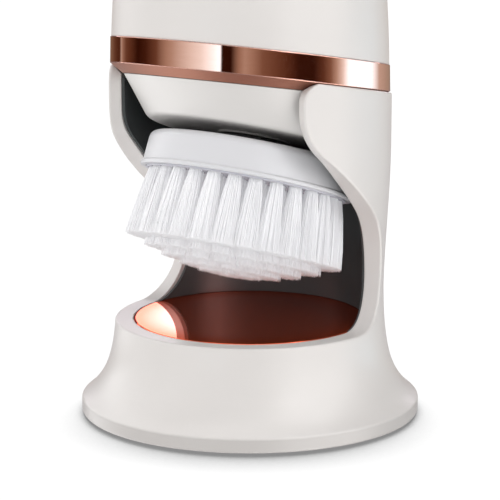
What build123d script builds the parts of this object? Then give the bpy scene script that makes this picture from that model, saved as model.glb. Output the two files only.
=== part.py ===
from build123d import *
from math import asin, cos, pi, radians, sin, sqrt, tan
import os

# Facial cleansing brush standing head down in its charging holder.
# Millimetres. +Z up, the open side of the holder faces -Y, origin at the centre of the underside.

# Driving dimensions: the holder
foot_gap = 0.3            # the shell stands this far above the table, on its rubber ring
foot_radius = 32.5
foot_height = 3.0
rim_z = 18.2              # top of the base, round the disc
disc_radius = 22.5
plate_z = 14.4            # underside of the base's top plate
wall_shape = [(28.04, 8.33), (26.53, 13.25), (25.9, 18.2), (25.66, 24.5), (25.9, 32.0),
              (26.35, 40.0), (26.72, 48.0), (26.8, 56.0), (26.77, 64.0)]
wall_low_bore = 22.5
wall_top_bore = 24.4
liner_wall = 0.5
liner_setback = 0.9

# The side outline of the holder's open front, from the top down to the rim
edge_y = -14.9
back_y = 8.6              # the opening reaches back to here, above the rim
corner_bend = 3.5
corner_z = 66.7
upper_bend_z = 60.9
upper_bend = 10.4
lower_bend = 17.0
bend_angle = 49.5
slope_length = 18.26
rim_bend = 10.0

# Driving dimensions: the brush
band_tilt = 10.3
band_low_z = 64.67
band_high_z = 69.6
band_radius = 26.5
head_tilt = 18.3
head_origin = (0, -1.3, 44.4)     # centre of the head's lip
lip_radius = 20.1
head_top_radius = 19.6
head_height = 6.8
neck_floor = 9.0                  # along the head axis, from the lip
neck_low_radius = 20.7
neck_high_radius = 23.8
neck_wall = 2.0
handle_side = [(26.2, 69.6), (25.8, 78.5), (23.9, 100.0), (20.9, 130.0), (18.8, 160.0), (18.0, 180.0)]
handle_top = 191.5
power_z = 128
mode_z = 110
lens_z = 142
spigot_radius = 23.2

# Bristle tufts: ring radius at the root and number of tufts in the ring
outer_tufts = [(17.4, 28)]
inner_tufts = [(14.1, 22), (10.8, 17), (7.4, 11), (4.0, 6), (0.0, 1)]
outer_reach = 13.5
centre_reach = 18.2

# Drive
module = 0.5
pinion_teeth = 16
gear_teeth = 32
centre_distance = module * (pinion_teeth + gear_teeth) / 2
shaft_radius = 3.0
running_gap = 0.05

# Charging contacts in the holder's back wall
contact_x = 6.0
contact_z = 52.0
pad_face = 21.52          # Y of the contact pads on the back of the neck


def tilted(angle, origin):
    """Frame leaning back by the angle: X stays sideways, Z leans towards +Y."""
    lean = radians(angle)
    return Plane(origin=origin, x_dir=(1, 0, 0), z_dir=(0, sin(lean), cos(lean)))


HEAD = tilted(head_tilt, head_origin).location


def band_plane(height):
    """Plane parallel to the trim band through the given height on the Z axis."""
    return tilted(band_tilt, (0, 0, height))


def turned(points):
    """Solid of revolution about Z from (radius, height) corners."""
    return revolve(make_face(Plane.XZ * Polyline(*points, close=True)), Axis.Z)


def rod(radius, low, high, x=0.0, y=0.0):
    """Upright round bar between two heights."""
    return Pos(x, y, (low + high) / 2) * Cylinder(radius, high - low)


def ring(outer, inner, low, high, x=0.0, y=0.0):
    """Upright ring between two heights."""
    return rod(outer, low, high, x, y) - rod(inner, low - 1, high + 1, x, y)


def block(x_range, y_range, z_range):
    """Box between stated limits."""
    sizes = [high - low for low, high in (x_range, y_range, z_range)]
    centre = [(high + low) / 2 for low, high in (x_range, y_range, z_range)]
    return Pos(*centre) * Box(*sizes)


def rod_y(radius, x, z, front, back):
    """Round bar lying along Y."""
    return Pos(x, (front + back) / 2, z) * Rot(90, 0, 0) * Cylinder(radius, back - front)


def slab(solid, low, high):
    """The part of a solid between two planes parallel to the trim band."""
    upper = split(solid, bisect_by=band_plane(low), keep=Keep.TOP)
    return split(upper, bisect_by=band_plane(high), keep=Keep.BOTTOM)


def group(solids):
    """Several separate solids kept as one node."""
    return Compound(children=list(solids))


def wall_radius(z):
    """Outer radius of the holder at a height, between the points of its outline."""
    for (r0, z0), (r1, z1) in zip(wall_shape, wall_shape[1:]):
        if z <= z1:
            return r0 + (r1 - r0) * (max(z, z0) - z0) / (z1 - z0)
    return wall_shape[-1][0]


# ---- holder ----

def front_cutter(setback):
    """Everything in front of the wall's edge. The cut runs straight towards the Z axis at each height."""
    top_z = 78.0
    corner_start = (edge_y + corner_bend, corner_z)
    corner = JernArc(start=corner_start, tangent=(-1, 0), radius=corner_bend, arc_size=90)
    down = Line(corner @ 1, (edge_y, upper_bend_z))
    bend = JernArc(start=down @ 1, tangent=(0, -1), radius=upper_bend, arc_size=bend_angle)
    slope = Line(bend @ 1, (bend @ 1) + (bend % 1) * slope_length)
    back = JernArc(start=slope @ 1, tangent=slope % 1, radius=lower_bend, arc_size=-bend_angle)
    low_line = Line(back @ 1, (back_y, rim_z + rim_bend))
    low = JernArc(start=low_line @ 1, tangent=(0, -1), radius=rim_bend, arc_size=-90)
    steps = [(corner, 8), (down, 3), (bend, 8), (slope, 6), (back, 10), (low, 12)]
    outline = [piece @ (i / count) for piece, count in steps for i in range(count)]
    outline.append(low @ 1)
    depths = [point.X for point in outline]
    heights = [point.Y for point in outline]
    angles = [asin((y + setback) / wall_radius(z)) for y, z in zip(depths, heights)]
    sections = []
    for x in (4.0, 36.0):
        points = [Vector(x, x * tan(a), z) for a, z in zip(angles, heights)]
        curve = Edge.make_spline(points, parameters=[i / (len(points) - 1) for i in range(len(points))])
        corners = [points[-1], Vector(x, -50, heights[-1]), Vector(x, -50, top_z),
                   Vector(x, points[0].Y, top_z), points[0]]
        sides = [Edge.make_line(start, end) for start, end in zip(corners, corners[1:])]
        sections.append(Wire([curve] + sides))
    half = Solid.make_loft(sections, ruled=True)
    middle = block((-12, 12), (-50, edge_y - 2), (heights[-1], top_z))
    return [half, mirror(half, about=Plane.YZ), middle]


def holder_bore(play):
    """Space inside the holder: straight at the disc, opening gently towards the top."""
    low = wall_low_bore - play
    top = wall_top_bore - play
    side = Line((low, 16.4), (low, 46))
    blend = Spline((low, 46), (top, 58), tangents=[(0, 1), (0, 1)])
    rest = Polyline((top, 58), (top, 90), (0, 90), (0, 16.4), (low, 16.4))
    return revolve(make_face(Plane.XZ * Curve([side, blend, rest])), Axis.Z)


def lead_channel(x):
    """Groove for a lead in the back wall, open to the inside and closed by the liner."""
    outline = Polyline((21.0, 14.0), (23.35, 14.0), (23.35, 44.3), (24.95, 50.6), (24.95, 51.6),
                       (22.0, 51.6), (22.0, 46.0), (21.0, 44.0), close=True)
    face = Plane.YZ * make_face(outline)
    return Pos(x - 0.7, 0, 0) * extrude(face, 1.4, dir=(1, 0, 0))


def stand_shell():
    start = Line((0, foot_gap), (foot_radius, foot_gap))
    foot = Line((foot_radius, foot_gap), (foot_radius, foot_height))
    flare = Spline((foot_radius, foot_height), (30.35, 4.92), *wall_shape, (26.77, 72))
    lid = Polyline((26.77, 72), (0, 72), (0, foot_gap))
    solid = revolve(make_face(Plane.XZ * Curve([start, foot, flare, lid])), Axis.Z)
    solid = Rot(0, 0, 90) * (solid - holder_bore(0))
    solid = split(solid, bisect_by=band_plane(band_low_z - 0.25), keep=Keep.BOTTOM)
    solid = solid - seat_cutter()
    hollow = turned([(0, -1), (30.2, -1), (30.2, 2.35), (28.9, 2.35), (28.9, 3.25), (26.1, 7.2),
                     (24.4, 12.8), (24.4, plate_z), (0, plate_z)])
    solid = solid - hollow
    for cutter in front_cutter(0):
        solid = solid - cutter
    solid = fillet(front_edges(solid), 0.35)
    circles = solid.edges().filter_by(GeomType.CIRCLE)
    solid = fillet([edge for edge in circles if edge.radius > foot_radius - 0.5], 0.5)
    for x, y in screw_places():
        solid = solid + rod(2.8, 2.4, plate_z + 0.5, x, y) - rod(1.0, 2.0, 11.0, x, y)
    for x in (-contact_x, contact_x):
        solid = solid - lead_channel(x) - rod_y(0.85, x, contact_z, 18, 25.4)
    solid = solid - socket_slot()
    return solid


def seat_cutter():
    """Bevelled seat at the top of the wall that the trim band rests in."""
    return lean_to_band(turned([(0, 61.8), (23.0, 61.8), (26.35, 64.45), (26.35, 90), (0, 90)]))


def lean_to_band(solid):
    """Lean an upright round form so that its level planes lie parallel to the band."""
    return Pos(0, 0, band_low_z) * Rot(-band_tilt, 0, 0) * Pos(0, 0, -band_low_z) * solid


def front_edges(solid):
    """Outside edges of the open front and of the rim."""
    chosen = []
    for edge in solid.edges():
        samples = [edge @ t for t in (0.1, 0.5, 0.9)]
        outside = all(abs(Vector(p.X, p.Y).length - wall_radius(p.Z)) < 0.12 for p in samples)
        if outside and samples[1].Y < 15 and samples[1].Z > 15 and edge.length > 1:
            chosen.append(edge)
    return chosen


def screw_places():
    return [(21 * cos(radians(a)), 21 * sin(radians(a))) for a in (40, 140, 220, 320)]


def socket_slot():
    """Mouth of the charging inlet through the back of the base."""
    slot = extrude(Plane.XZ * RectangleRounded(9.5, 3.7, 1.6), -12)
    return Pos(0, 19, 6.35) * slot


def wall_liner():
    outer = holder_bore(0.05)
    solid = outer - holder_bore(0.05 + liner_wall)
    solid = solid - block((-40, 40), (-40, 40), (0, rim_z + 0.03))
    solid = split(solid, bisect_by=band_plane(band_low_z - 2.6), keep=Keep.BOTTOM)
    for cutter in front_cutter(liner_setback):
        solid = solid - cutter
    for x in (-contact_x, contact_x):
        solid = solid - rod_y(0.95, x, contact_z, 18, 26)
    return solid


def mirror_disc():
    disc = rod(disc_radius - 0.12, 16.42, rim_z)
    return chamfer(disc.edges().group_by(Axis.Z)[-1], 0.35)


def base_cover():
    cover = rod(30.1, foot_gap, 2.3)
    cover = cover - ring(28.6, 25.4, -1, 0.8)
    for x, y in screw_places():
        cover = cover - rod(1.25, 0, 3, x, y) - rod(2.3, 0, 1.5, x, y)
    for x in (-7.5, 7.5):
        cover = cover + rod(2.4, 2.2, 3.45, x, 8) - rod(0.9, 0.9, 4, x, 8)
    return cover


def foot_pad():
    return fillet(ring(28.5, 25.5, 0, 0.8).edges().group_by(Axis.Z)[0], 0.15)


def cover_screws():
    return group(rod(2.2, 0.45, 1.5, x, y) + rod(0.95, 1.4, 9.5, x, y) for x, y in screw_places())


def base_weight():
    return ring(17.8, 5.0, 9.0, plate_z - 0.1)


def charge_board():
    board = block((-10, 10), (4, 26), (3.5, 4.6))
    for x in (-7.5, 7.5):
        board = board - rod(1.0, 3, 5, x, 8)
    return board


def board_screws():
    return group(rod(1.8, 4.65, 5.7, x, 8) + rod(0.85, 1.1, 4.9, x, 8) for x in (-7.5, 7.5))


def usb_socket():
    body = extrude(Plane.XZ * RectangleRounded(8.9, 3.2, 1.4), -7.6)
    mouth = extrude(Plane.XZ * RectangleRounded(8.2, 2.5, 1.1), -6.2)
    tongue = block((-3.3, 3.3), (1.0, 6.6), (-0.35, 0.35))
    socket = body - Pos(0, 1.4, 0) * mouth + tongue
    legs = block((-4.0, 4.0), (0.4, 4.5), (-1.7, -1.2))
    return Pos(0, 20.4, 6.35) * (socket + legs)


def wire_path(points, radius):
    """Round wire through a list of points, with rounded joints."""
    solid = None
    for start, end in zip(points, points[1:]):
        run = Vector(*end) - Vector(*start)
        frame = Plane(origin=start, z_dir=run)
        piece = frame.location * Pos(0, 0, run.length / 2) * Cylinder(radius, run.length)
        solid = piece if solid is None else solid + piece
    for point in points[1:-1]:
        solid = solid + Pos(*point) * Sphere(radius)
    return solid


def wall_leads():
    return group(wire_path([(x, 22.65, 4.65), (x, 22.65, 44.0), (x, 24.1, 50.4)], 0.5)
                 for x in (-contact_x, contact_x))


def contact_barrels():
    return group(rod_y(0.8, x, contact_z, 22.6, 25.3) - rod_y(0.5, x, contact_z, 20, 24.9)
                 for x in (-contact_x, contact_x))


def contact_pin(x):
    pin = rod_y(0.45, x, contact_z, pad_face + 0.12, 24.1)
    return fillet(pin.edges().group_by(Axis.Y)[0], 0.2)


# ---- brush: handle, band and neck ----

def handle_form():
    """Full outer form of the handle."""
    side = Spline(*handle_side, tangents=[(-0.03, 1), (-0.02, 1)])
    dome = Spline(handle_side[-1], (13.3, 188.6), (0, handle_top), tangents=[(-0.02, 1), (-1, 0)])
    lower = Line((26.4, 60), handle_side[0])
    close = Polyline((0, handle_top), (0, 60), (26.4, 60))
    return revolve(make_face(Plane.XZ * Curve([lower, side, dome, close])), Axis.Z)


def handle_bore(play):
    points = [(23.3, 55), (23.3, 90), (21.8, 100), (18.8, 130), (16.7, 160),
              (15.9, 178), (10, 185.5), (0, 188)]
    corners = [(max(r - play, 0), z - (play if z > 90 else 0)) for r, z in points]
    return turned([(0, 55)] + corners)


def button_bore(z):
    return rod_y(5.55, 0, z, -32, -8)


def handle_shell():
    solid = handle_form() - handle_bore(0)
    solid = split(solid, bisect_by=band_plane(band_high_z + 0.05), keep=Keep.TOP)
    for x in (-11.5, 11.5):
        boss = rod(2.6, 154.9, 186, x, 6) & handle_form()
        solid = solid + boss - rod(1.0, 150, 164, x, 6)
    solid = solid - button_bore(power_z) - button_bore(mode_z) - rod_y(1.25, 0, lens_z, -32, -8)
    return solid


def band_outline(play):
    """Ring with a bevelled underside, before it is cut parallel to the neck."""
    return turned([(spigot_radius + 0.05, 55), (band_radius + play, 55), (band_radius + play, 62),
                   (26.2 + play, 75), (spigot_radius + 0.05, 75)])


def trim_band():
    band = slab(band_outline(0), band_low_z, band_high_z)
    lower = slab(band_outline(0), band_low_z - 1.7, band_low_z)
    bevel = turned([(0, 50), (23.9, band_low_z - 1.75), (26.55, band_low_z + 0.02), (0, band_low_z + 0.02)])
    return band + (lower & lean_to_band(bevel))


def neck_form(shrink, floor):
    """Neck between the band and the head, leaning further forward as it goes down."""
    lean = cos(radians(band_tilt))
    high = neck_high_radius - shrink
    low = neck_low_radius - shrink
    top = band_plane(band_low_z - 1.8) * Ellipse(high, high / lean)
    bottom = HEAD * Pos(0, 0, floor) * Circle(low)
    return loft([bottom, top])


def neck_housing():
    outer = neck_form(0, neck_floor)
    rim = outer.faces().sort_by(Axis.Z)[0].edges()
    outer = fillet(rim, 2.0)
    spigot = slab(ring(spigot_radius, spigot_radius - neck_wall, 50, 95), band_low_z - 1.81, 84.5)
    inner = neck_form(neck_wall, neck_floor + 2)
    solid = outer - inner
    solid = solid + spigot
    solid = solid - slab(rod(spigot_radius - neck_wall, 50, 95), band_low_z - 2.2, 90)
    solid = solid - ring(30, 22.35, 76, 77.4)
    solid = solid - HEAD * rod(7.05, 0, 12)
    for u, v in post_places():
        solid = solid + HEAD * rod(2.6, 10.9, 12.0, u, v) - HEAD * rod(0.85, 9.8, 13, u, v)
    for x in (-contact_x, contact_x):
        solid = solid - rod_y(1.15, x, contact_z, pad_face - 1.1, 30) - rod_y(0.7, x, contact_z, 16, 30)
    return solid


def neck_seal():
    return Pos(0, 0, 76.7) * Torus(22.78, 0.42)


def contact_pads():
    return group(rod_y(1.1, x, contact_z, pad_face - 1.05, pad_face) + rod_y(0.65, x, contact_z, 18.2, 21)
                 for x in (-contact_x, contact_x))


# ---- drive, built along the head axis ----

def post_places():
    return [(-11.5, -4.2), (11.5, -4.2), (0, 12.2)]


def shaft_seal():
    seal = ring(7.0, shaft_radius + running_gap, neck_floor - 0.3, neck_floor + 2)
    return HEAD * seal


def lower_plate():
    plate = rod(14.4, 12.05, 14) - rod(5.55, 11, 15)
    for u, v in post_places():
        plate = plate - rod(1.05, 11, 15, u, v)
    return HEAD * plate


def upper_plate():
    near = Pos(0, 0, 22) * Circle(14.4)
    far = Pos(0, -centre_distance, 22) * Circle(11.0)
    plate = extrude(make_hull((near + far).edges()), 2)
    plate = plate - rod(5.55, 21, 25) - rod(3.2, 21, 25, 0, -centre_distance)
    for u, v in post_places():
        plate = plate - rod(1.05, 21, 25, u, v)
    for u in (-6, 6):
        plate = plate - rod(1.05, 21, 25, u, -centre_distance)
    return HEAD * plate


def gear_spacers():
    return group(HEAD * ring(2.0, 1.05, 14.03, 21.97, u, v) for u, v in post_places())


def gear_screws():
    return group(HEAD * (rod(1.9, 24.03, 25.2, u, v) + rod(0.8, 9.9, 24.2, u, v))
                 for u, v in post_places())


def spindle_bushes():
    lower = ring(5.5, shaft_radius + 0.03, 11.6, 14.6)
    upper = ring(5.5, shaft_radius + 0.03, 21.4, 23.95)
    return group([HEAD * lower, HEAD * upper])


def involute(base, radius):
    """Angle of an involute of the base circle at a radius."""
    if radius <= base:
        return 0.0
    stretch = sqrt((radius / base) ** 2 - 1)
    return stretch - asin(stretch * base / radius)


def gear_face(teeth, turn):
    """Spur gear outline with a little backlash."""
    pitch = module * teeth / 2
    base = pitch * cos(radians(20))
    tip = pitch + 0.42
    root = pitch - 0.6
    half = pi / (2 * teeth) - 0.05 / pitch + involute(base, pitch)
    flank = [root] + [max(base, root + 0.02) + (tip - max(base, root + 0.02)) * i / 5 for i in range(6)]
    side = [(r, half - involute(base, r)) for r in flank]
    points = []
    for tooth in range(teeth):
        middle = 2 * pi * tooth / teeth + radians(turn)
        for r, a in side:
            points.append((r * cos(middle - a), r * sin(middle - a)))
        for r, a in reversed(side):
            points.append((r * cos(middle + a), r * sin(middle + a)))
    return make_face(Polyline(*points, close=True))


def spindle_gear():
    gear = Pos(0, 0, 15.5) * extrude(gear_face(gear_teeth, 0), 4)
    gear = gear + rod(5.0, 19.4, 21.2)
    return HEAD * (gear - rod(shaft_radius + 0.02, 10, 30))


def pinion():
    wheel = Pos(0, -centre_distance, 15.3) * extrude(gear_face(pinion_teeth, 180 / pinion_teeth), 4.4)
    return HEAD * (wheel - rod(1.02, 10, 30, 0, -centre_distance))


def spindle():
    bar = rod(shaft_radius, 3.0, 23.9)
    groove = ring(4.0, 2.4, 14.65, 15.3)
    return HEAD * (chamfer(bar.edges(), 0.3) - groove)


def spindle_clip():
    clip = ring(4.6, 2.45, 14.7, 15.2) - block((-1.6, 1.6), (0, 6), (14, 16))
    return HEAD * clip


def hex_bar(flats, low, high):
    return Pos(0, 0, low) * extrude(RegularPolygon(flats / 2, 6, major_radius=False), high - low)


def drive_hub():
    hub = hex_bar(10.0, 2.9, 7.2) + rod(6.4, 7.1, 8.4)
    return HEAD * (hub - rod(shaft_radius + 0.02, 2, 9))


def motor_shaft():
    return HEAD * rod(1.0, 15.0, 46.5, 0, -centre_distance)


def motor_can():
    v = -centre_distance
    can = rod(10.2, 24.03, 45.0, 0, v) - rod(9.4, 25.6, 46, 0, v)
    can = can + rod(3.0, 22.6, 24.1, 0, v) - rod(1.05, 20, 30, 0, v)
    for u in (-6, 6):
        can = can - rod(0.85, 20, 30, u, v)
    return HEAD * can


def motor_end_bell():
    v = -centre_distance
    bell = rod(9.35, 43.2, 45.0, 0, v) + rod(3.0, 44.9, 46.6, 0, v) - rod(1.05, 40, 50, 0, v)
    for u in (-4.5, 4.5):
        bell = bell + block((u - 0.7, u + 0.7), (v - 0.3, v + 0.3), (44.8, 48.0))
    return HEAD * bell


def motor_magnets():
    v = -centre_distance
    tube = ring(9.35, 8.2, 27, 42, 0, v)
    gap = block((-12, 12), (v - 2.2, v + 2.2), (20, 50))
    return group(HEAD * half for half in (tube - gap).solids())


def motor_rotor():
    v = -centre_distance
    core = rod(7.8, 29, 40.5, 0, v) - rod(1.02, 20, 50, 0, v)
    for turn in (0, 120, 240):
        slot = Pos(0, v, 0) * Rot(0, 0, turn) * block((-0.8, 0.8), (3.2, 9), (28, 42))
        core = core - slot
    return HEAD * core


def motor_screws():
    v = -centre_distance
    return group(HEAD * (rod(1.8, 20.7, 21.95, u, v) + rod(0.8, 21.8, 25.3, u, v)) for u in (-6, 6))


# ---- handle inside ----

def chassis():
    """Frame that carries the cell and the board inside the handle."""
    room = handle_bore(0.15)
    shelves = (rod(25, 97, 99.2) + rod(25, 152.6, 154.8)) & room
    cradle = ring(9.4, 7.5, 98.5, 153.5, 0, 2.5) & block((-12, 12), (4.5, 13), (98, 154))
    frame = shelves + cradle
    frame = frame - block((-8.1, 8.1), (-11.75, -10.45), (98.2, 153.65))
    frame = frame - block((-5, 5), (-9.0, -6.0), (90, 160))
    for x in (-11.5, 11.5):
        frame = frame - rod(1.05, 150, 156, x, 6) - rod(4.0, 96, 100, x, 6)
    return frame


def chassis_screws():
    return group(rod(2.0, 151.4, 152.57, x, 6) + rod(0.95, 152.4, 162, x, 6) for x in (-11.5, 11.5))


def battery():
    cell = rod(7.1, 99.7, 149.6, 0, 2.5)
    cell = fillet(cell.edges(), 0.5)
    return cell + rod(2.8, 149.5, 150.6, 0, 2.5)


def battery_tabs():
    lower = block((-2.2, 2.2), (-10.3, 6), (99.32, 99.62))
    upper = block((-2.2, 2.2), (-10.3, 5), (150.7, 151.0))
    return group([lower, upper])


def control_board():
    return block((-8, 8), (-11.65, -10.5), (98.3, 153.5))


def tact_switch(z):
    return block((-3, 3), (-13.6, -11.7), (z - 3, z + 3)) + rod_y(1.7, 0, z, -14.6, -13.5)


def tact_switches():
    return group([tact_switch(power_z), tact_switch(mode_z)])


def status_led():
    return block((-1.0, 1.0), (-12.7, -11.7), (lens_z - 0.8, lens_z + 0.8))


def status_lens():
    return rod_y(1.2, 0, lens_z, -30, -12.9) & handle_form()


def push_button(z, flange_y):
    cap = rod_y(5.5, 0, z, -32, flange_y + 0.5) & handle_form()
    flange = rod_y(6.5, 0, z, flange_y, flange_y + 1.0)
    stem = rod_y(2.0, 0, z, flange_y + 0.5, -15.1)
    return cap + flange + stem


# ---- brush head ----

def head_shell():
    shell = turned([(0, 5.2), (0, head_height), (head_top_radius, head_height), (lip_radius, 0.9),
                    (20.45, 0.7), (20.45, 0), (19.35, 0), (19.35, 2.6), (18.4, 2.6), (18.0, 5.2)])
    shell = shell + ring(8.0, 4, 2.65, 5.3)
    shell = fillet(shell.edges().filter_by(GeomType.CIRCLE).group_by(Axis.Z)[-1], 1.5)
    lip = [e for e in shell.edges().filter_by(GeomType.CIRCLE) if abs(e.radius - 20.45) < 0.01]
    shell = fillet(lip, 0.3)
    return HEAD * (shell - hex_bar(10.1, 0, 9))


def reach(radius):
    """How far the tufts of a ring stand below the lip: longest in the middle."""
    return centre_reach - (centre_reach - outer_reach) * (radius / outer_tufts[0][0]) ** 2


def tuft_frame(radius, angle):
    """Frame at a tuft's root, its Z pointing along the tuft, splayed outwards."""
    splay = 4.2 * radius / outer_tufts[0][0]
    return Rot(0, 0, angle) * Pos(radius, 0, 1.6) * Rot(0, 180 - splay, 0)


def tuft_places(rings):
    return [(radius, 360 * i / count + 6 * radius) for radius, count in rings for i in range(count)]


def bristle_plate():
    plate = rod(19.25, -0.3, 2.55)
    hole = Pos(0, 0, 1.5) * Cylinder(1.45, 3.0)
    holes = [tuft_frame(radius, angle) * hole for radius, angle in tuft_places(outer_tufts + inner_tufts)]
    return HEAD * (plate - holes)


def bristles(rings):
    tufts = []
    for radius, angle in tuft_places(rings):
        length = reach(radius) + 1.55
        tuft = Pos(0, 0, length / 2 + 0.03) * Cone(1.3, 1.62, length)
        tufts.append(HEAD * tuft_frame(radius, angle) * tuft)
    return group(tufts)


nodes = {
    "stand_shell": stand_shell,
    "wall_liner": wall_liner,
    "mirror_disc": mirror_disc,
    "base_cover": base_cover,
    "foot_pad": foot_pad,
    "cover_screws": cover_screws,
    "base_weight": base_weight,
    "charge_board": charge_board,
    "board_screws": board_screws,
    "usb_socket": usb_socket,
    "wall_leads": wall_leads,
    "contact_barrels": contact_barrels,
    "contact_pin_left": lambda: contact_pin(-contact_x),
    "contact_pin_right": lambda: contact_pin(contact_x),
    "handle_shell": handle_shell,
    "trim_band": trim_band,
    "neck_housing": neck_housing,
    "neck_seal": neck_seal,
    "contact_pads": contact_pads,
    "shaft_seal": shaft_seal,
    "lower_plate": lower_plate,
    "upper_plate": upper_plate,
    "gear_spacers": gear_spacers,
    "gear_screws": gear_screws,
    "spindle_bushes": spindle_bushes,
    "spindle_gear": spindle_gear,
    "pinion": pinion,
    "spindle": spindle,
    "spindle_clip": spindle_clip,
    "drive_hub": drive_hub,
    "motor_shaft": motor_shaft,
    "motor_can": motor_can,
    "motor_end_bell": motor_end_bell,
    "motor_magnets": motor_magnets,
    "motor_rotor": motor_rotor,
    "motor_screws": motor_screws,
    "chassis": chassis,
    "chassis_screws": chassis_screws,
    "battery": battery,
    "battery_tabs": battery_tabs,
    "control_board": control_board,
    "tact_switches": tact_switches,
    "status_led": status_led,
    "status_lens": status_lens,
    "power_button": lambda: push_button(power_z, -16.9),
    "mode_button": lambda: push_button(mode_z, -18.9),
    "head_shell": head_shell,
    "bristle_plate": bristle_plate,
    "bristles_outer": lambda: bristles(outer_tufts),
    "bristles_inner": lambda: bristles(inner_tufts),
}

os.makedirs("parts", exist_ok=True)
for name, build in nodes.items():
    part = build()
    export_step(part, "parts/" + name + ".step")
    print(name, round(part.volume, 1))
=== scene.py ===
# %% [markdown]
# # A facial cleansing brush, standing head down in its holder
# The CAD model gives every piece its place and size. This lesson gives the pieces their finish, replaces
# the plain bristle tufts with real filaments, and sets up a small white studio. All lengths are in metres.

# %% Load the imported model
import math
import random

import bpy
from mathutils import Matrix, Vector


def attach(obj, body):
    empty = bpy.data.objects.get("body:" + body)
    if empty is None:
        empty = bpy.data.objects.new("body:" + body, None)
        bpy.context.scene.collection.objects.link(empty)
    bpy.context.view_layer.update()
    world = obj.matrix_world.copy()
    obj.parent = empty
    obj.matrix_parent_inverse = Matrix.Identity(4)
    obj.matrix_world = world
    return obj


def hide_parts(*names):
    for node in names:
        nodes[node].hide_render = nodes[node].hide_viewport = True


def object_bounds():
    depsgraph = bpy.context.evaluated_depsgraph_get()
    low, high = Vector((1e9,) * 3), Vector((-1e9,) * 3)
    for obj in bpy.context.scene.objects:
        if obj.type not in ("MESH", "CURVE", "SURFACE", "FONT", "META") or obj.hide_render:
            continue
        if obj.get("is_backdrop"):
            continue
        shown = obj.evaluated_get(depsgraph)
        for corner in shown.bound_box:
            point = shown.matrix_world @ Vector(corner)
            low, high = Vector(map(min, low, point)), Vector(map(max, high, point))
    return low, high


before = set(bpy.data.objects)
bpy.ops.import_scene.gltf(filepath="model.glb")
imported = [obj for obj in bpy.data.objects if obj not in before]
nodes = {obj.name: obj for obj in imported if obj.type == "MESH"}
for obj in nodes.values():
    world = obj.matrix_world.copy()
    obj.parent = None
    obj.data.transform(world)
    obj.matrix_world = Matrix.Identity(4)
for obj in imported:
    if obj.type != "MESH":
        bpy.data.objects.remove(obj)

cad_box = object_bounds()
MM = 0.001
print("overall size in mm", [round((high - low) / MM, 1) for low, high in zip(*cad_box)])

# %% [markdown]
# ## Helpers
# Colours are written as sRGB hex values, as a paint maker gives them, but shaders work in linear light.
# One function turns the one into the other. A second one adds a shader node, sets it up and wires what
# feeds it, so that a material reads like a short recipe. Three more make a ramp, a mixture of two
# colours and an empty material.

# %% Colour and node helpers
def linear(code):
    """Linear RGBA from an sRGB hex value."""
    parts = [int(code[i:i + 2], 16) / 255 for i in (1, 3, 5)]
    return (*[c / 12.92 if c <= 0.04045 else ((c + 0.055) / 1.055) ** 2.4 for c in parts], 1.0)


def add(tree, kind, inputs=None, **settings):
    """Adds one node with its settings. An input is a plain value or the socket that feeds it."""
    node = tree.nodes.new(kind)
    for name, value in settings.items():
        setattr(node, name, value)
    for name, value in (inputs or {}).items():
        if isinstance(value, bpy.types.NodeSocket):
            tree.links.new(value, node.inputs[name])
        else:
            node.inputs[name].default_value = value
    return node


def ramp(tree, factor, stops, interpolation="LINEAR"):
    """Colour ramp from (place, colour) pairs. Its first two stops are there from the start."""
    node = add(tree, "ShaderNodeValToRGB", {"Fac": factor})
    points = node.color_ramp.elements
    node.color_ramp.interpolation = interpolation
    while len(points) < len(stops):
        points.new(0.5)
    for point, (place, colour) in zip(points, stops):
        point.position = place
        point.color = colour
    return node.outputs["Color"]


def grey(level):
    """Neutral colour of a linear level."""
    return (level, level, level, 1)


def mixed(tree, share, first, second):
    """First colour at share 0, second at share 1."""
    return add(tree, "ShaderNodeMix", {"Factor": share, 6: first, 7: second}, data_type="RGBA").outputs[2]


def empty_material(name):
    """New material with no nodes yet, and its node tree."""
    material = bpy.data.materials.new(name)
    material.use_nodes = True
    material.node_tree.nodes.clear()
    return material, material.node_tree


def object_place(tree):
    """Place in the object's own coordinates, in metres."""
    return add(tree, "ShaderNodeTexCoord").outputs["Object"]


def show(tree, shader):
    """Wires the last shader of a material to its surface."""
    add(tree, "ShaderNodeOutputMaterial", {"Surface": shader.outputs[0]})


print("off-white in linear light", [round(c, 3) for c in linear("#E5E1DE")[:3]])

# %% [markdown]
# ## The camera
# A long lens from about half a metre keeps the upright sides of the holder nearly parallel. The camera
# stands a little to the right of the open front and looks slightly down.

# %% Camera
AZIMUTH = math.radians(34.96)
DISTANCE = 0.4530
HEIGHT = 0.1268
PITCH = math.radians(11.91)

lens = bpy.data.cameras.new("studio_camera")
lens.lens = 173.84
lens.sensor_width = 36
lens.clip_start = 0.02
lens.clip_end = 20
camera = bpy.data.objects.new("studio_camera", lens)
bpy.context.scene.collection.objects.link(camera)
camera.location = (DISTANCE * math.sin(AZIMUTH), -DISTANCE * math.cos(AZIMUTH), HEIGHT)
camera.rotation_euler = (math.pi / 2 - PITCH, 0, AZIMUTH)
bpy.context.scene.camera = camera
print("camera at", [round(v, 3) for v in camera.location])

# %% [markdown]
# ## The studio
# Polished rose gold has hardly any colour of its own: it shows the room. A product studio therefore
# stands soft boxes and dark flags round the piece, and they become the bright and dark stripes on the
# band. Here the world shader draws them. Its colour depends only on the compass direction of the ray, so
# the stripes run straight down the band. Matt surfaces get a soft white sky instead, dimmer at the back,
# which darkens the outlines a little.

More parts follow.
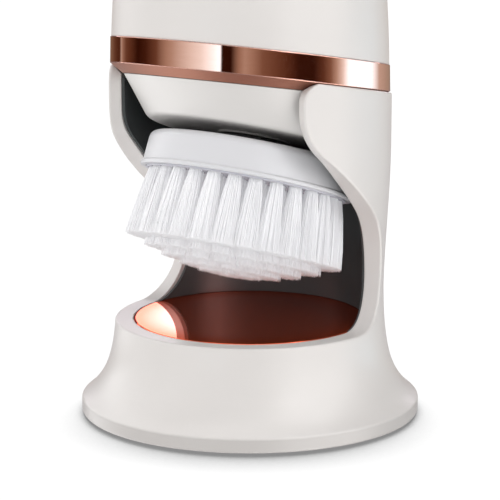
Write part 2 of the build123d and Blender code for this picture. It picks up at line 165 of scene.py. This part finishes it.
# %% What stands in the room
# Stripes and tall boxes are (compass angle in degrees from the camera's side, positive to the camera's
# right, strength). The back box and the bands of height go by the sine of the angle above the horizon.
studio_stops = [
    (-180, 0.28), (-158, 0.21), (-146, 0.13), (-138, 0.085), (-133.5, 0.085), (-131, 0.54), (-128, 0.34),
    (-122, 0.16), (-116, 0.12), (-104, 0.033), (-94, 0.06), (-82, 0.16), (-71.5, 0.44), (-66, 0.53),
    (-50, 0.88), (-40, 1.06), (-30, 1.4), (-24, 1.6), (-22.7, 0.035), (-15, 0.03), (-9, 0.36), (-4, 0.49),
    (2, 0.40), (10, 0.23), (21, 0.16), (31, 0.09), (40, 0.033), (53, 0.031), (62, 0.12), (69, 0.26),
    (75, 0.54), (81, 0.92), (88, 1.6), (116, 1.6), (131, 0.62), (145, 0.50), (170, 0.30), (180, 0.28)]
tall_boxes = [
    (-180, 0.04), (-152, 0.12), (-132, 2.6), (-108, 1.8), (-85, 0.5), (-50, 0.25), (0, 0.4), (20, 1.6),
    (32, 4.2), (78, 4.2), (95, 0.7), (120, 0.3), (150, 0.5), (168, 1.3), (180, 1.3)]
back_box = [(0.0, 0.3), (0.19, 0.3), (0.205, 5.0), (0.27, 5.0), (0.285, 0.3)]
BACK_TINT = (1.0, 0.9, 0.96)
BACK_BOX_FROM, BACK_BOX_FULL = 140, 155      # degrees
BELT_BOTTOM = (-0.150, -0.130)
BELT_TOP = (-0.045, -0.025)
CEILING_FROM, CEILING_FULL, CEILING_LEVEL = 0.86, 0.92, 1.8
SKY_DIMS_FROM, SKY_DIMS_TO = 95, 165         # degrees
SKY_FRONT, SKY_BACK = 0.62, 0.37
BACKDROP_LEVEL = 1.05


def studio_colour(strength):
    """Light of one stop. Soft boxes are cool daylight and flags are warm brown, so blue rises fastest."""
    return (strength, 1.15 * strength ** 1.45, 1.15 * strength ** 1.75, 1.0)


def turn_share(degrees):
    """Compass angle as a share of the full turn, from straight behind on the left."""
    return degrees / 360 + 0.5


print(len(studio_stops), "stops in the low belt,", len(tall_boxes), "above it")

# %% The world shader
world = bpy.data.worlds.new("white_studio")
bpy.context.scene.world = world
world.use_nodes = True
tree = world.node_tree
tree.nodes.clear()
direction = add(tree, "ShaderNodeTexCoord").outputs["Generated"]
turned = add(tree, "ShaderNodeMapping", {"Vector": direction, "Rotation": (0, 0, math.pi / 2 - AZIMUTH)})
axes = add(tree, "ShaderNodeSeparateXYZ", {"Vector": turned.outputs["Vector"]})
compass = add(tree, "ShaderNodeMath", {0: axes.outputs["Y"], 1: axes.outputs["X"]}, operation="ARCTAN2")
share = add(tree, "ShaderNodeMath", {0: compass.outputs[0], 1: 1 / (2 * math.pi), 2: 0.5},
            operation="MULTIPLY_ADD")
# A ramp holds 32 stops at most, so the turn is drawn in two halves.
half = len(studio_stops) // 2
left, right = [ramp(tree, share.outputs[0], [(turn_share(angle), studio_colour(s)) for angle, s in stops])
               for stops in (studio_stops[:half + 1], studio_stops[half:])]
side = add(tree, "ShaderNodeMath", {0: share.outputs[0], 1: turn_share(studio_stops[half][0])},
           operation="GREATER_THAN")
stripes = mixed(tree, side.outputs[0], left, right)
# The stripes stand in a low belt. Above it hang tall soft boxes, one more straight behind, and a ceiling.
level = axes.outputs["Z"]
rising = add(tree, "ShaderNodeMapRange", {"Value": level, "From Min": BELT_BOTTOM[0],
                                          "From Max": BELT_BOTTOM[1]})
falling = add(tree, "ShaderNodeMapRange", {"Value": level, "From Min": BELT_TOP[0], "From Max": BELT_TOP[1],
                                           "To Min": 1.0, "To Max": 0.0})
belt = add(tree, "ShaderNodeMath", {0: rising.outputs[0], 1: falling.outputs[0]}, operation="MULTIPLY")
tall = ramp(tree, share.outputs[0], [(turn_share(angle), grey(s)) for angle, s in tall_boxes])
behind = ramp(tree, level, [(z, (*[s * part for part in BACK_TINT], 1)) for z, s in back_box])
away = add(tree, "ShaderNodeMath", {0: compass.outputs[0]}, operation="ABSOLUTE")
facing_back = add(tree, "ShaderNodeMapRange", {"Value": away.outputs[0],
                                               "From Min": math.radians(BACK_BOX_FROM),
                                               "From Max": math.radians(BACK_BOX_FULL)})
upper = mixed(tree, facing_back.outputs[0], tall, behind)
topmost = add(tree, "ShaderNodeMapRange", {"Value": level, "From Min": CEILING_FROM,
                                           "From Max": CEILING_FULL})
above = mixed(tree, topmost.outputs[0], upper, grey(CEILING_LEVEL))
reflected = add(tree, "ShaderNodeBackground", {"Color": mixed(tree, belt.outputs[0], above, stripes),
                                               "Strength": 1.0})
sky_level = add(tree, "ShaderNodeMapRange", {"Value": away.outputs[0],
                                             "From Min": math.radians(SKY_DIMS_FROM),
                                             "From Max": math.radians(SKY_DIMS_TO),
                                             "To Min": SKY_FRONT, "To Max": SKY_BACK})
sky = add(tree, "ShaderNodeBackground", {"Color": grey(1), "Strength": sky_level.outputs["Result"]})
backdrop = add(tree, "ShaderNodeBackground", {"Color": grey(1), "Strength": BACKDROP_LEVEL})
rays = add(tree, "ShaderNodeLightPath")
lit = add(tree, "ShaderNodeMixShader", {"Fac": rays.outputs["Is Glossy Ray"], 1: sky.outputs[0],
                                        2: reflected.outputs[0]})
shown = add(tree, "ShaderNodeMixShader", {"Fac": rays.outputs["Is Camera Ray"], 1: lit.outputs[0],
                                          2: backdrop.outputs[0]})
add(tree, "ShaderNodeOutputWorld", {"Surface": shown.outputs[0]})
bpy.context.scene.view_settings.view_transform = "Standard"
bpy.context.scene.view_settings.look = "None"
print("studio drawn in", len(tree.nodes), "nodes")

# %% [markdown]
# ## Floor and lights
# The floor is a table of opal acrylic, far larger than the view, lit from below: that is how a product
# studio gets a pure white ground. Only close to the foot, where the room is hidden from the table, is a
# breath of shadow left, and an ambient occlusion node draws it: dark right at the foot, gone within a
# finger's width. The table is left out of reflections. A soft box on the left models the round forms, one
# on the right fills, and a weak one hangs overhead.

# %% Floor and soft boxes
def mesh_object(name, points, faces, smooth=False):
    """New object from vertices and faces."""
    mesh = bpy.data.meshes.new(name)
    mesh.from_pydata(points, [], faces)
    mesh.polygons.foreach_set("use_smooth", [smooth] * len(faces))
    mesh.update()
    made = bpy.data.objects.new(name, mesh)
    bpy.context.scene.collection.objects.link(made)
    return made


LIT_MIDDLE = Vector((0, 0, 0.06))


def soft_box(name, azimuth, elevation, distance, size, power):
    """Square area light that faces the middle of the brush. Azimuth is counted from the camera's side."""
    lamp = bpy.data.lights.new(name, "AREA")
    lamp.shape = "SQUARE"
    lamp.size = size
    lamp.energy = power
    turn = AZIMUTH + math.radians(azimuth)
    rise = math.radians(elevation)
    towards = Vector((math.sin(turn) * math.cos(rise), -math.cos(turn) * math.cos(rise), math.sin(rise)))
    box = bpy.data.objects.new(name, lamp)
    bpy.context.scene.collection.objects.link(box)
    box.location = LIT_MIDDLE + towards * distance
    box.rotation_euler = towards.to_track_quat("Z", "Y").to_euler()
    box.visible_glossy = False
    return box


REACH = 4.0
SHADE_REACH = 22 * MM
corners = [(-REACH, -REACH, 0), (REACH, -REACH, 0), (REACH, REACH, 0), (-REACH, REACH, 0)]
floor = mesh_object("table_floor", corners, [(0, 1, 2, 3)])
floor.visible_glossy = False
floor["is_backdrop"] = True
table, tree = empty_material("acrylic_opal_light_table")
grain = add(tree, "ShaderNodeTexNoise", {"Vector": object_place(tree), "Scale": 1 / (0.6 * MM),
                                         "Detail": 2.0})
opal = ramp(tree, grain.outputs["Fac"], [(0.3, linear("#F7F7F7")), (0.7, linear("#FAFAFA"))])
behind_and_up = add(tree, "ShaderNodeCombineXYZ", {"X": -math.sin(AZIMUTH), "Y": math.cos(AZIMUTH),
                                                   "Z": 1.1})
open_sky = add(tree, "ShaderNodeAmbientOcclusion", {"Distance": SHADE_REACH,
                                                    "Normal": behind_and_up.outputs[0]}, samples=16)
contact_shade = [(0.46, 0.26), (0.56, 0.58), (0.64, 0.78), (0.76, 0.95), (0.86, 1.05)]
glow_level = ramp(tree, open_sky.outputs["AO"], [(sky_seen, grey(s)) for sky_seen, s in contact_shade])
glow = add(tree, "ShaderNodeEmission", {"Color": glow_level, "Strength": 1.0})
top_skin = add(tree, "ShaderNodeBsdfDiffuse", {"Color": opal})
seen = add(tree, "ShaderNodeLightPath").outputs["Is Camera Ray"]
from_below = add(tree, "ShaderNodeEmission", {"Color": opal, "Strength": 0.27})
sheet = add(tree, "ShaderNodeAddShader", {0: top_skin.outputs[0], 1: from_below.outputs[0]})
lit_sheet = add(tree, "ShaderNodeMixShader", {"Fac": seen, 1: sheet.outputs[0], 2: glow.outputs[0]})
show(tree, lit_sheet)
floor.data.materials.append(table)

soft_box("key_box", -72, 24, 0.9, 0.5, 2.1)
soft_box("fill_box", 38, 28, 1.0, 0.5, 2.1)
soft_box("top_box", -10, 80, 0.9, 0.9, 1.0)
print("floor is", 2 * REACH, "m wide")

# %% [markdown]
# ## White ABS
# The handle, the neck and the holder are injection-moulded ABS. A polished mould leaves a smooth skin
# with a soft sheen, and under it the faintest waviness, called orange peel, about a millimetre across.
# A noise texture makes that waviness. Its scale is one over the wave's length. The Bevel node rounds the
# look of sharp moulded edges by a fraction of a millimetre, which is where a real edge catches the light.

# %% Moulded plastics
def moulded(name, colour, shade, roughness, wave_mm, wave_strength, edge_mm=0.12, ior=1.52, foot_painted_shade=None):
    """Moulded plastic: two close colours in soft clouds, and a waviness of the given length."""
    skin, tree = empty_material(name)
    place = object_place(tree)
    clouds = add(tree, "ShaderNodeTexNoise", {"Vector": place, "Scale": 1 / (14 * MM), "Detail": 3.0})
    tint = ramp(tree, clouds.outputs["Fac"], [(0.35, linear(colour)), (0.65, linear(shade))])
    # Below about 3 mm the colour is mixed towards a darker one: painted shade on the foot's low vertical
    # band.
    if foot_painted_shade:
        height = add(tree, "ShaderNodeSeparateXYZ", {"Vector": place}).outputs["Z"]
        low = add(tree, "ShaderNodeMapRange", {"Value": height, "From Min": 3.1 * MM, "From Max": 2.7 * MM})
        tint = mixed(tree, low.outputs["Result"], tint, linear(foot_painted_shade))
    waves = add(tree, "ShaderNodeTexNoise", {"Vector": place, "Scale": 1 / (wave_mm * MM), "Detail": 2.0})
    gloss = add(tree, "ShaderNodeMapRange", {"Value": waves.outputs["Fac"], "To Min": roughness * 0.9,
                                             "To Max": roughness * 1.1})
    edge = add(tree, "ShaderNodeBevel", {"Radius": edge_mm * MM}, samples=4)
    relief = add(tree, "ShaderNodeBump", {"Height": waves.outputs["Fac"], "Normal": edge.outputs[0],
                                          "Strength": wave_strength, "Distance": 0.02 * MM})
    surface = add(tree, "ShaderNodeBsdfPrincipled", {
        "Base Color": tint, "Roughness": gloss.outputs["Result"], "IOR": ior, "Normal": relief.outputs[0]})
    show(tree, surface)
    return skin


# The holder's foot gets a darker colour near the floor, which is painted shade.
abs_shell = moulded("abs_warm_white_moulded", "#DCD8D5", "#DAD6D3", 0.32, 1.1, 0.25, edge_mm=0.35,
                    foot_painted_shade="#C2BEBB")
abs_neck = moulded("abs_neck_white_moulded", "#DAD7D4", "#D8D5D2", 0.34, 1.1, 0.25)
abs_button = moulded("abs_button_fine_grain", "#D6D2CF", "#D2CECB", 0.48, 0.35, 0.6)
pp_head = moulded("polypropylene_head_cool_white", "#DBDBDE", "#D9D9DC", 0.38, 0.9, 0.25)
pp_plate = moulded("polypropylene_tuft_plate", "#D5D5DC", "#CFCFD8", 0.5, 0.5, 0.5)
pc_liner = moulded("polycarbonate_liner_dark_grey", "#545859", "#4F5354", 0.30, 1.6, 0.2)
abs_base = moulded("abs_underside_eroded", "#B9B6B3", "#B0ADAA", 0.6, 0.3, 1.0)
abs_frame = moulded("abs_frame_grey", "#8B8B8D", "#838385", 0.55, 0.6, 0.6)
pom_hub = moulded("acetal_hub_dark_grey", "#4A4A4C", "#444446", 0.42, 0.6, 0.4)
pom_gear = moulded("acetal_gear_natural", "#D9D5C4", "#D2CDBB", 0.45, 0.5, 0.4)
rubber_foot = moulded("silicone_rubber_grey", "#4C4C4C", "#454545", 0.75, 0.4, 1.0)
rubber_seal = moulded("nitrile_rubber_black", "#1B1B1C", "#161617", 0.6, 0.4, 0.8)
lip_seal = moulded("silicone_lip_seal_light_grey", "#C9C7C5", "#C3C1BF", 0.6, 0.4, 0.8)
pvc_lead = moulded("pvc_lead_red", "#8E1F18", "#851A14", 0.45, 0.6, 0.4)
switch_black = moulded("phenolic_switch_black", "#1C1C1D", "#171718", 0.5, 0.5, 0.5)
cell_sleeve = moulded("pvc_cell_sleeve_blue", "#22466F", "#1E3F66", 0.35, 1.8, 0.4)
ferrite = moulded("ferrite_magnet_dark", "#2F2F31", "#29292B", 0.6, 0.4, 0.8)
print("moulded finishes made")

# %% [markdown]
# ## Rose gold band
# The band is polished and plated with rose gold. Plating follows the polished base, so the surface is a
# mirror with only a trace of blur, and hairlines from the last buffing run round it. They are stretched
# along the band: long in the level directions, short upwards. The plating's own colour is a copper pink.

# %% Plated and polished metals
UNDERCUT_HAZE = 0.38      # roughness that an unbuffed underside has on top of the polished one


def polished(name, colour, shade, roughness, hairline_mm, stretch, strength, edge_mm=0.2, painted_underside_shade=None):
    """Polished or machined metal with fine level hairlines. Faces that look down can be rougher and get a
    darker painted shade.
    """
    skin, tree = empty_material(name)
    coordinates = add(tree, "ShaderNodeTexCoord")
    drawn = add(tree, "ShaderNodeMapping", {"Vector": coordinates.outputs["Object"],
                                            "Scale": (1 / stretch, 1 / stretch, 1)})
    lines = add(tree, "ShaderNodeTexNoise", {"Vector": drawn.outputs[0], "Scale": 1 / (hairline_mm * MM),
                                             "Detail": 3.0})
    tint = ramp(tree, lines.outputs["Fac"], [(0.35, linear(colour)), (0.65, linear(shade))])
    gloss = add(tree, "ShaderNodeMapRange", {"Value": lines.outputs["Fac"], "To Min": roughness * 0.8,
                                             "To Max": roughness * 1.2}).outputs["Result"]
    # Faces that look down get more roughness, and their colour is mixed towards a darker one: painted
    # shade.
    if painted_underside_shade:
        facing = add(tree, "ShaderNodeSeparateXYZ", {"Vector": coordinates.outputs["Normal"]})
        down = add(tree, "ShaderNodeMapRange", {"Value": facing.outputs["Z"], "From Min": -0.25,
                                                "From Max": -0.45}).outputs["Result"]
        tint = mixed(tree, down, tint, linear(painted_underside_shade))
        gloss = add(tree, "ShaderNodeMath", {0: down, 1: UNDERCUT_HAZE, 2: gloss},
                    operation="MULTIPLY_ADD").outputs[0]
    edge = add(tree, "ShaderNodeBevel", {"Radius": edge_mm * MM}, samples=4)
    relief = add(tree, "ShaderNodeBump", {"Height": lines.outputs["Fac"], "Normal": edge.outputs[0],
                                          "Strength": strength, "Distance": 0.005 * MM})
    surface = add(tree, "ShaderNodeBsdfPrincipled", {
        "Base Color": tint, "Metallic": 1.0, "Roughness": gloss, "Normal": relief.outputs[0]})
    show(tree, surface)
    return skin


# The band's downward faces get a darker brown colour, which is painted shade.
rose_gold = polished("rose_gold_plated_polished", "#EDBBAD", "#EBB9AA", 0.045, 0.5, 6.0, 0.15,
                     painted_underside_shade="#A87562")
steel_plain = polished("steel_stamped", "#A8A8AB", "#9C9C9F", 0.32, 0.3, 4.0, 0.5)
steel_ground = polished("steel_ground_shaft", "#BDBDC0", "#B3B3B6", 0.2, 0.15, 3.0, 0.5)
steel_zinc = polished("steel_zinc_plated", "#9FA0A3", "#939497", 0.28, 0.4, 1.0, 0.4)
brass_turned = polished("brass_turned", "#C9A45C", "#BF9850", 0.26, 0.2, 4.0, 0.5)
gold_contact = polished("gold_flash_contact", "#E0B765", "#D9AE5A", 0.18, 0.3, 1.0, 0.3)
print("metal finishes made")

# %% [markdown]
# ## The copper disc
# The bottom of the holder is a mirror: copper vacuum-coated on a smooth disc, under clear lacquer. At this
# shallow angle the lacquer itself reflects white light, so a bright reflection looks white in the middle
# of the disc. Towards the rim the lacquer thins out and the reflection turns to copper pink.

# %% Lacquered copper
FULL_LACQUER, THIN_LACQUER = 0.62, 0.13
FULL_LACQUER_TO, THIN_LACQUER_FROM = 16 * MM, 21 * MM
copper_mirror, tree = empty_material("copper_vacuum_coated_lacquered")
place = object_place(tree)
spot = add(tree, "ShaderNodeSeparateXYZ", {"Vector": place})
flat_place = add(tree, "ShaderNodeCombineXYZ", {"X": spot.outputs["X"], "Y": spot.outputs["Y"]})
from_middle = add(tree, "ShaderNodeVectorMath", {0: flat_place.outputs[0]}, operation="LENGTH")
lacquer = add(tree, "ShaderNodeMapRange", {
    "Value": from_middle.outputs["Value"], "From Min": FULL_LACQUER_TO, "From Max": THIN_LACQUER_FROM,
    "To Min": FULL_LACQUER, "To Max": THIN_LACQUER})
haze = add(tree, "ShaderNodeTexNoise", {"Vector": place, "Scale": 1 / (4 * MM), "Detail": 2.0})
copper_tint = ramp(tree, haze.outputs["Fac"], [(0.35, linear("#CE5B36")), (0.65, linear("#CC5934"))])
surface = add(tree, "ShaderNodeBsdfPrincipled", {
    "Base Color": copper_tint, "Metallic": 0.85, "Roughness": 0.03, "Specular Tint": linear("#F2A99D"),
    "Coat Weight": lacquer.outputs["Result"], "Coat Roughness": 0.02, "Coat IOR": 1.5})
show(tree, surface)
print("copper disc finish made")

# %% [markdown]
# ## Circuit boards and the status lens
# A board is glass cloth under green solder mask: a glossy skin over a faint weave of about half a
# millimetre. The status lens is clear acrylic.

# %% Solder mask and acrylic
mask, tree = empty_material("solder_mask_green")
cloth = add(tree, "ShaderNodeTexChecker", {"Vector": object_place(tree), "Scale": 1 / (0.5 * MM),
                                           "Color1": linear("#14532D"), "Color2": linear("#174F2D")})
raised = add(tree, "ShaderNodeBump", {"Height": cloth.outputs["Fac"], "Strength": 0.3,
                                      "Distance": 0.01 * MM})
surface = add(tree, "ShaderNodeBsdfPrincipled", {"Base Color": cloth.outputs["Color"], "Roughness": 0.3,
                                                 "Normal": raised.outputs[0]})
show(tree, surface)

acrylic, tree = empty_material("acrylic_clear_moulded")
flow = add(tree, "ShaderNodeTexNoise", {"Vector": object_place(tree), "Scale": 1 / (0.8 * MM),
                                        "Detail": 1.0})
clear_tint = ramp(tree, flow.outputs["Fac"], [(0.4, linear("#F4F6F8")), (0.6, linear("#EEF1F4"))])
surface = add(tree, "ShaderNodeBsdfPrincipled", {"Base Color": clear_tint, "Roughness": 0.12, "IOR": 1.49,
                                                 "Transmission Weight": 0.6})
show(tree, surface)
print("board and lens finishes made")

# %% [markdown]
# ## Dressing the CAD pieces
# The CAD pieces keep their shape and only get a material. Each entry below names a finish and the pieces
# that are made in it, so no piece is left in the plain colour it was imported with.

# %% Give each CAD piece its material
finishes = {
    abs_shell: ["stand_shell", "handle_shell"],
    abs_neck: ["neck_housing"],
    abs_button: ["power_button", "mode_button"],
    pp_head: ["head_shell"],
    pp_plate: ["bristle_plate"],
    pc_liner: ["wall_liner"],
    abs_base: ["base_cover"],
    abs_frame: ["chassis"],
    pom_hub: ["drive_hub"],
    pom_gear: ["spindle_gear", "motor_end_bell"],
    rubber_foot: ["foot_pad"],
    rubber_seal: ["neck_seal"],
    lip_seal: ["shaft_seal"],
    pvc_lead: ["wall_leads"],
    switch_black: ["tact_switches", "status_led"],
    cell_sleeve: ["battery"],
    ferrite: ["motor_magnets"],
    rose_gold: ["trim_band"],
    copper_mirror: ["mirror_disc"],
    steel_plain: ["lower_plate", "upper_plate", "motor_can", "motor_rotor", "base_weight"],
    steel_ground: ["spindle", "motor_shaft"],
    steel_zinc: ["cover_screws", "board_screws", "gear_screws", "motor_screws", "chassis_screws",
                 "spindle_clip", "usb_socket", "battery_tabs"],
    brass_turned: ["gear_spacers", "pinion", "spindle_bushes"],
    gold_contact: ["contact_barrels", "contact_pin_left", "contact_pin_right", "contact_pads"],
    mask: ["charge_board", "control_board"],
    acrylic: ["status_lens"],
}
for finish, names in finishes.items():
    for name in names:
        mesh = nodes[name].data
        mesh.materials.clear()
        mesh.materials.append(finish)
dressed = {name for names in finishes.values() for name in names}
print("dressed", len(dressed), "nodes; still plain:", sorted(set(nodes) - dressed))

# %% [markdown]
# ## Bristle filaments
# The brush is tufted: a machine folds a bundle of nylon filaments, presses it into a hole in the plate,
# and trims the field to a dome. A bundle is tight at its root and fans out to its tips, which is why the
# gaps between tufts are narrow triangles. Real filaments are about 0.1 mm thick. They are drawn at twice
# that, as single ones would vanish. Each is a thin three-sided rod with a slight bow, and it ends in a
# small point, as polished tips do.

# %% Nylon
nylon, tree = empty_material("nylon_filament_white_extruded")
strands = add(tree, "ShaderNodeTexNoise", {"Vector": object_place(tree), "Scale": 1 / (0.7 * MM),
                                           "Detail": 2.0})
strand_tint = ramp(tree, strands.outputs["Fac"], [(0.3, linear("#F1F1F4")), (0.7, linear("#FBFBFC"))])
strand_gloss = add(tree, "ShaderNodeMapRange", {"Value": strands.outputs["Fac"], "To Min": 0.32,
                                                "To Max": 0.45})
# Light wanders through thousands of clear filaments, more often than a render follows it. A faint glow
# stands in for the part that would be lost.
surface = add(tree, "ShaderNodeBsdfPrincipled", {
    "Base Color": strand_tint, "Roughness": strand_gloss.outputs["Result"], "IOR": 1.53,
    "Emission Color": strand_tint, "Emission Strength": 0.12})
show(tree, surface)
print("nylon made")

# %% Where the tufts stand
HEAD_TILT = math.radians(18.3)
LIP_CENTRE = Vector((0, -1.3, 44.4)) * MM
head_frame = Matrix.Translation(LIP_CENTRE) @ Matrix.Rotation(-HEAD_TILT, 4, "X")
OUTER_RINGS = [(17.4, 28)]
INNER_RINGS = [(14.1, 22), (10.8, 17), (7.4, 11), (4.0, 6), (0.0, 1)]
OUTER_REACH = 13.5
CENTRE_REACH = 18.2
ROOT_DEPTH = 1.5
OUTER_RING = OUTER_RINGS[0][0]


def dome(radius):
    """Depth of the trimmed field below the lip, in mm: longest in the middle."""
    return CENTRE_REACH - (CENTRE_REACH - OUTER_REACH) * (radius / OUTER_RING) ** 2


def tuft_places(rings):
    """(ring radius, angle in radians) of every tuft."""
    return [(radius, math.radians(360 * i / count + 6 * radius))
            for radius, count in rings for i in range(count)]


print(len(tuft_places(OUTER_RINGS + INNER_RINGS)), "tufts, dome", CENTRE_REACH - OUTER_REACH, "mm high")

# %% One tuft of filaments
# Lengths are in mm.
THICK = 0.105             # half the thickness of a drawn filament
ROOT_SPREAD = 0.95        # half the width of a bundle in its hole
SQUEEZE = 0.86            # a hole is a little narrower across its ring than along it
FAN_SQUEEZE = 0.92        # and so is the spread at the tips
OUTER_LEAN = 1.4          # how far the tips of the outer ring's bundles stand out
TIP_SCATTER = 0.10
TRIM_SCATTER = 0.06
TRIM_STEP = 0.12          # how much of the dome's slope the tips of one bundle follow
BOW = 0.22                # how far the outermost filaments bow out at half their length
BOW_SCATTER = 0.05
GOLDEN_ANGLE = 2.39996    # radians, spreads the filaments evenly over a bundle
SIDES = [(math.cos(a), math.sin(a)) for a in (math.pi / 2, math.pi * 7 / 6, math.pi * 11 / 6)]
STATIONS = [(0.0, 1.0), (0.35, 1.0), (0.72, 0.95), (0.97, 0.75)]


def filament(points, faces, start, end, bow, thickness):
    """Adds one bowed rod with a pointed tip. All places are in mm in the head's own frame."""
    first = len(points)
    for along, thin in STATIONS:
        centre = start.lerp(end, along) + bow * (4 * along * (1 - along))
        points.extend((centre.x + u * thickness * thin, centre.y + v * thickness * thin, centre.z)
                      for u, v in SIDES)
    points.append(tuple(end))
    for ring in range(len(STATIONS) - 1):
        low = first + 3 * ring
        for i in range(3):
            j = (i + 1) % 3
            faces.append((low + i, low + j, low + 3 + j, low + 3 + i))
    top = first + 3 * (len(STATIONS) - 1)
    faces.extend((top + i, top + (i + 1) % 3, len(points) - 1) for i in range(3))


def tuft(points, faces, chance, radius, angle, count, fan):
    """One bundle, tight in its hole and fanned out to the trimmed dome."""
    across = Vector((math.cos(angle), math.sin(angle), 0))
    along = Vector((-math.sin(angle), math.cos(angle), 0))
    lean = OUTER_LEAN * radius / OUTER_RING
    for number in range(count):
        spread = math.sqrt((number + 0.5) / count)
        turn = number * GOLDEN_ANGLE + chance.uniform(-0.2, 0.2)
        a = spread * math.cos(turn)
        b = spread * math.sin(turn)
        root = across * (radius + a * ROOT_SPREAD * SQUEEZE) + along * (b * ROOT_SPREAD)
        tip_radius = radius + lean + a * fan * FAN_SQUEEZE + chance.gauss(0, TIP_SCATTER)
        tip_side = b * fan + chance.gauss(0, TIP_SCATTER)
        tip = across * tip_radius + along * tip_side
        depth = dome(radius + TRIM_STEP * (tip.length - radius - lean)) + chance.gauss(0, TRIM_SCATTER)
        start = Vector((root.x, root.y, ROOT_DEPTH))
        end = Vector((tip.x, tip.y, -depth))
        bow = across * (BOW * a + chance.gauss(0, BOW_SCATTER))
        bow = bow + along * (BOW * b + chance.gauss(0, BOW_SCATTER))
        filament(points, faces, start, end, bow, THICK * chance.uniform(0.85, 1.15))


def bristle_field(name, rings, count, fan, seed):
    """All the tufts of some rings as one mesh, placed in the head."""
    chance = random.Random(seed)
    points = []
    faces = []
    for radius, angle in tuft_places(rings):
        tuft(points, faces, chance, radius, angle, count, fan)
    placed = [tuple(head_frame @ (Vector(p) * MM)) for p in points]
    made = mesh_object(name, placed, faces, smooth=True)
    made.data.materials.append(nylon)
    print(name, "has", len(faces), "faces in", len(tuft_places(rings)), "tufts")
    return made


# %% Build both fields
outer_field = bristle_field("filaments_outer_ring", OUTER_RINGS, 200, 2.2, 11)
inner_field = bristle_field("filaments_inner_rings", INNER_RINGS, 110, 2.05, 23)
for field, node in ((outer_field, "bristles_outer"), (inner_field, "bristles_inner")):
    field.visible_glossy = False
    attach(field, "brush_head")
    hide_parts(node)

# %% Write both boxes and finish
shown_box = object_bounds()
for label, (low, high) in (("cad", cad_box), ("visual", shown_box)):
    print(label, "size in mm", [round((b - a) / MM, 2) for a, b in zip(low, high)])
